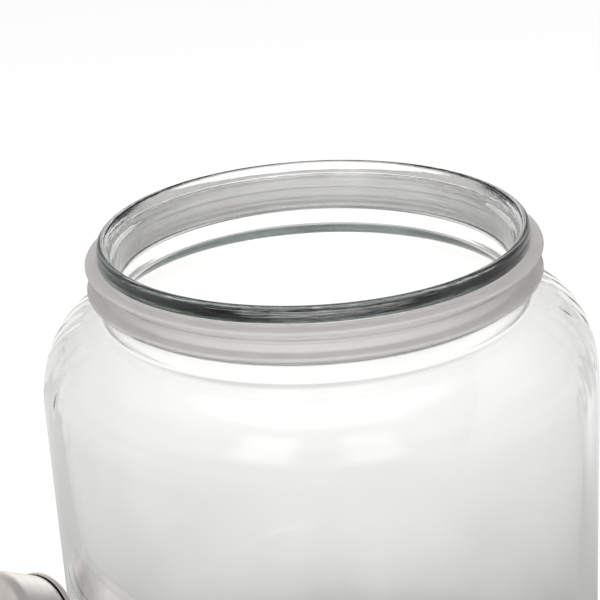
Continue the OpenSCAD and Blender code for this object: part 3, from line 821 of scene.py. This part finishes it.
def lever_material():
    """Stamped steel, brushed along its length and rubbed bright by the thumb at its end."""
    mat, tree, shader, point = new_material("lever_steel")
    x, y, z = split_node(tree, point)
    grain = noise_node(tree, join_node(tree, math_node(tree, "MULTIPLY", x, 60.0),
                                       math_node(tree, "MULTIPLY", y, 4200.0),
                                       math_node(tree, "MULTIPLY", z, 4200.0)), 1.0, 4.0, 0.6)
    marks = use_group(tree, "handled_marks", Point=point, Closeness=140.0)
    thumb = ease_node(tree, x, 0.024, 0.042)
    metal = mix_node(tree, grain, (0.66, 0.65, 0.64), (0.8, 0.79, 0.78))
    metal = mix_node(tree, math_node(tree, "MULTIPLY", thumb, 0.5), metal, (0.85, 0.84, 0.83))
    metal = mix_node(tree, math_node(tree, "MULTIPLY", marks["Mask"], 0.35), metal, (0.46, 0.44, 0.42))
    tree.links.new(metal, shader.inputs["Base Color"])
    rough = math_node(tree, "SUBTRACT", ease_node(tree, grain, 0.25, 0.75, 0.28, 0.4),
                      math_node(tree, "MULTIPLY", thumb, 0.1))
    tree.links.new(math_node(tree, "ADD", rough, math_node(tree, "MULTIPLY", marks["Mask"], 0.1)),
                   shader.inputs["Roughness"])
    tree.links.new(bump_node(tree, grain, 0.00001), shader.inputs["Normal"])
    shader.inputs["Metallic"].default_value = 1.0
    return mat


def moulded_material(name, dark, light, rough, grain, dusty):
    """Plain moulded plastic or rubber."""
    mat, tree, shader, point = new_material(name)
    skin = use_group(tree, "moulded_skin", Point=point, Grain=grain)
    marks = use_group(tree, "handled_marks", Point=point, Closeness=180.0)
    dust = use_group(tree, "settled_dust", Point=point, Amount=dusty)
    body = mix_node(tree, ease_node(tree, skin["Mottle"], 0.3, 0.7), dark, light)
    grey = tuple(0.5 * c + 0.3 for c in light)
    tree.links.new(mix_node(tree, dust["Mask"], body, grey), shader.inputs["Base Color"])
    tree.links.new(math_node(tree, "ADD", ease_node(tree, skin["Height"], 0.3, 0.7, rough - 0.05, rough + 0.05),
                             math_node(tree, "MULTIPLY", marks["Mask"], -0.08)), shader.inputs["Roughness"])
    tree.links.new(bump_node(tree, skin["Height"], 0.00002), shader.inputs["Normal"])
    return mat


# ---------------------------------------------------------------------------
# Surroundings
# ---------------------------------------------------------------------------


def room_around(tree, angle):
    """Room's brightness towards an angle from straight behind. What is seen straight through the
    glass is brighter at the front than what a reflection shows."""
    bounced = math_node(tree, "MINIMUM", tree.nodes.new("ShaderNodeLightPath").outputs["Glossy Depth"], 1.0)
    levels = [math_node(tree, "ADD", math_node(tree, "MULTIPLY", bounced, (shown - clear) / BACK_LEVEL),
                        clear / BACK_LEVEL)
              for clear, shown in ((CLEAR_SIDE, SIDE_LEVEL), (CLEAR_FRONT, FRONT_LEVEL))]
    return use_group(tree, "room_falloff", Angle=angle, Side=levels[0], Front=levels[1])["Level"]


def make_floor():
    """Pale floor. Seen through glass or in a reflection, it is a sheet lit from behind, with a painted shadow
    that darkens it towards the jar's foot."""
    bm = bmesh.new()
    bmesh.ops.create_circle(bm, cap_ends=True, segments=96, radius=FLOOR_R)
    mesh = bpy.data.meshes.new("floor")
    bm.to_mesh(mesh)
    bm.free()
    floor = bpy.data.objects.new("floor", mesh)
    floor.location.z = -FLOOR_DROP
    scene.collection.objects.link(floor)
    mat = bpy.data.materials.new("pale_floor")
    mat.use_nodes = True
    tree = mat.node_tree
    tree.nodes.clear()
    out = tree.nodes.new("ShaderNodeOutputMaterial")
    coord = tree.nodes.new("ShaderNodeTexCoord")
    reach = tree.nodes.new("ShaderNodeVectorMath")
    reach.operation = "LENGTH"
    tree.links.new(coord.outputs["Object"], reach.inputs[0])
    ramp = tree.nodes.new("ShaderNodeValToRGB")
    ramp.color_ramp.interpolation = "LINEAR"
    tree.links.new(reach.outputs["Value"], ramp.inputs["Fac"])
    elements = ramp.color_ramp.elements
    for i, (at, level) in enumerate(FLOOR_SHEEN):
        element = elements[i] if i < 2 else elements.new(at)
        element.position = at
        level /= SHEEN_LIMIT
        element.color = (level, level * 0.99, level * 0.975, 1)
    sheet = tree.nodes.new("ShaderNodeEmission")
    x, y, _ = split_node(tree, coord.outputs["Object"])
    angle = math_node(tree, "DEGREES", math_node(tree, "ARCTAN2", x, y))
    tree.links.new(math_node(tree, "MULTIPLY", room_around(tree, angle), SHEEN_LIMIT),
                   sheet.inputs["Strength"])
    tree.links.new(ramp.outputs["Color"], sheet.inputs["Color"])
    diffuse = tree.nodes.new("ShaderNodeBsdfDiffuse")
    diffuse.inputs["Color"].default_value = (FLOOR_TONE, FLOOR_TONE, FLOOR_TONE, 1)
    light_path = tree.nodes.new("ShaderNodeLightPath")
    lift = tree.nodes.new("ShaderNodeEmission")
    tree.links.new(math_node(tree, "MULTIPLY", light_path.outputs["Is Camera Ray"], FLOOR_LIFT),
                   lift.inputs["Strength"])
    add = tree.nodes.new("ShaderNodeAddShader")
    tree.links.new(diffuse.outputs[0], add.inputs[0])
    tree.links.new(lift.outputs[0], add.inputs[1])
    mix = tree.nodes.new("ShaderNodeMixShader")
    through = math_node(tree, "MAXIMUM", light_path.outputs["Is Transmission Ray"],
                        light_path.outputs["Is Glossy Ray"])
    tree.links.new(through, mix.inputs["Fac"])
    tree.links.new(add.outputs[0], mix.inputs[1])
    tree.links.new(sheet.outputs[0], mix.inputs[2])
    tree.links.new(mix.outputs[0], out.inputs["Surface"])
    mesh.materials.append(mat)


def make_world():
    """White for the camera. Glass and metal see white at the horizon, a dim ceiling and soft boxes."""
    world = bpy.data.worlds.new("studio")
    scene.world = world
    world.use_nodes = True
    tree = world.node_tree
    tree.nodes.clear()
    out = tree.nodes.new("ShaderNodeOutputWorld")
    way = tree.nodes.new("ShaderNodeTexCoord").outputs["Generated"]
    x, y, z = split_node(tree, way)
    azimuth = math_node(tree, "DEGREES", math_node(tree, "ARCTAN2", x, math_node(tree, "MULTIPLY", y, -1.0)))
    behind = math_node(tree, "DEGREES", math_node(tree, "ARCTAN2", x, y))
    level = ease_node(tree, z, 0.02, 0.3, math_node(tree, "MULTIPLY", room_around(tree, behind), BACK_LEVEL),
                      CEILING)
    elevation = math_node(tree, "DEGREES", math_node(tree, "ARCSINE", z))
    for middle, half_width, low, high, strength in PANELS:
        panel = use_group(tree, "soft_panel", Azimuth=azimuth, Elevation=elevation, Middle=float(middle),
                          Low=float(low), High=float(high), **{"Half Width": float(half_width)})
        level = math_node(tree, "ADD", level, math_node(tree, "MULTIPLY", panel["Level"], strength))
    room = tree.nodes.new("ShaderNodeBackground")
    room.inputs["Color"].default_value = (ROOM_TONE, ROOM_TONE, ROOM_TONE, 1)
    tree.links.new(level, room.inputs["Strength"])
    plain = tree.nodes.new("ShaderNodeBackground")
    plain.inputs["Color"].default_value = (1, 1, 1, 1)
    light_path = tree.nodes.new("ShaderNodeLightPath")
    seen = light_path.outputs["Is Camera Ray"]
    strength = math_node(tree, "ADD", math_node(tree, "MULTIPLY", seen, 1 - AMBIENT), AMBIENT)
    tree.links.new(strength, plain.inputs["Strength"])
    mirror = math_node(tree, "MAXIMUM", light_path.outputs["Is Transmission Ray"],
                       light_path.outputs["Is Glossy Ray"])
    mix = tree.nodes.new("ShaderNodeMixShader")
    tree.links.new(mirror, mix.inputs["Fac"])
    tree.links.new(plain.outputs[0], mix.inputs[1])
    tree.links.new(room.outputs[0], mix.inputs[2])
    tree.links.new(mix.outputs[0], out.inputs["Surface"])


def soft_box(name, azimuth, elevation, distance, width, height, power):
    """A soft box that faces the jar; azimuth 0 is the camera's side, positive to the right."""
    data = bpy.data.lights.new(name, "AREA")
    data.shape = "RECTANGLE"
    data.size = width
    data.size_y = height
    data.energy = power
    lamp = bpy.data.objects.new(name, data)
    scene.collection.objects.link(lamp)
    lamp.visible_glossy = False
    lamp.visible_transmission = False
    a, e = math.radians(azimuth), math.radians(elevation)
    way = Vector((math.sin(a) * math.cos(e), -math.cos(a) * math.cos(e), math.sin(e)))
    aim = Vector((0, 0, LAMP_AIM_Z))
    lamp.location = aim + way * distance
    lamp.rotation_mode = "QUATERNION"
    lamp.rotation_quaternion = (-way).to_track_quat("-Z", "Y")


# ---------------------------------------------------------------------------
# Making it all
# ---------------------------------------------------------------------------

for make_group in (make_round_place, make_turned_lines, make_handled_marks, make_settled_dust,
                   make_moulded_skin, make_cast_glass, make_soft_panel, make_room_falloff):
    make_group()

make_camera()
make_floor()
make_world()
for box in SOFT_BOXES:
    soft_box(*box)

jar = make_jar()
collar = make_collar()
lid = make_lid()

dress(jar, glass_material())
dress(collar, silicone_material("frosted_silicone", 0.52, (0.992, 0.976, 0.962), 1800.0))
dress(lid, brushed_lid_material())

TAP_AXIS = (0.0, 0.0, TAP_Z * MM)
STEM_AXIS = (0.0, -0.1092, 0.0)
satin = turned_steel_material("satin_tap_steel", (0.68, 0.67, 0.66), (0.79, 0.78, 0.77), (0.2, 0.32),
                              "Y", TAP_AXIS, 5000.0, 0.35)
turned = turned_steel_material("turned_steel", (0.6, 0.6, 0.59), (0.72, 0.71, 0.7), (0.3, 0.44),
                               "Y", TAP_AXIS, 3200.0, 0.3)
stem_steel = turned_steel_material("stem_steel", (0.66, 0.66, 0.66), (0.77, 0.76, 0.76), (0.14, 0.24),
                                   "Z", STEM_AXIS, 5200.0, 0.25)
ball_steel = turned_steel_material("ball_steel", (0.72, 0.72, 0.72), (0.8, 0.8, 0.79), (0.08, 0.15),
                                   "Z", STEM_AXIS, 7000.0, 0.15)
nut_steel = turned_steel_material("nut_steel", (0.64, 0.64, 0.63), (0.77, 0.76, 0.75), (0.24, 0.36),
                                  "Z", STEM_AXIS, 4200.0, 0.4)
gasket = silicone_material("gasket_silicone", 0.2, (0.86, 0.86, 0.84), 2400.0)
seat = moulded_material("seat_plastic", (0.84, 0.84, 0.82), (0.9, 0.9, 0.88), 0.35, 3000.0, 0.0)
rubber = moulded_material("o_ring_rubber", (0.015, 0.015, 0.016), (0.03, 0.03, 0.03), 0.5, 3600.0, 0.05)
nozzle = moulded_material("nozzle_plastic", (0.78, 0.78, 0.76), (0.85, 0.85, 0.83), 0.38, 2600.0, 0.2)
finish_of = {
    "tail_fitting": satin, "valve_body": satin, "lever": lever_material(),
    "outer_gasket": gasket, "inner_gasket": gasket, "backing_washer": turned, "tail_nut": turned,
    "packing_nut": nut_steel, "spring_washer": nut_steel, "cap_nut": stem_steel,
    "valve_stem": stem_steel, "valve_ball": ball_steel,
    "inlet_seat": seat, "outlet_seat": seat, "packing_washer": seat,
    "stem_o_ring_lower": rubber, "stem_o_ring_upper": rubber, "spout_nozzle": nozzle,
}
for name, mat in finish_of.items():
    dress(nodes[name], mat)

# Thick glass passes light on many times inside its wall
scene.cycles.max_bounces = 32
scene.cycles.transmission_bounces = 32
scene.cycles.glossy_bounces = 20
scene.view_settings.view_transform = "Standard"
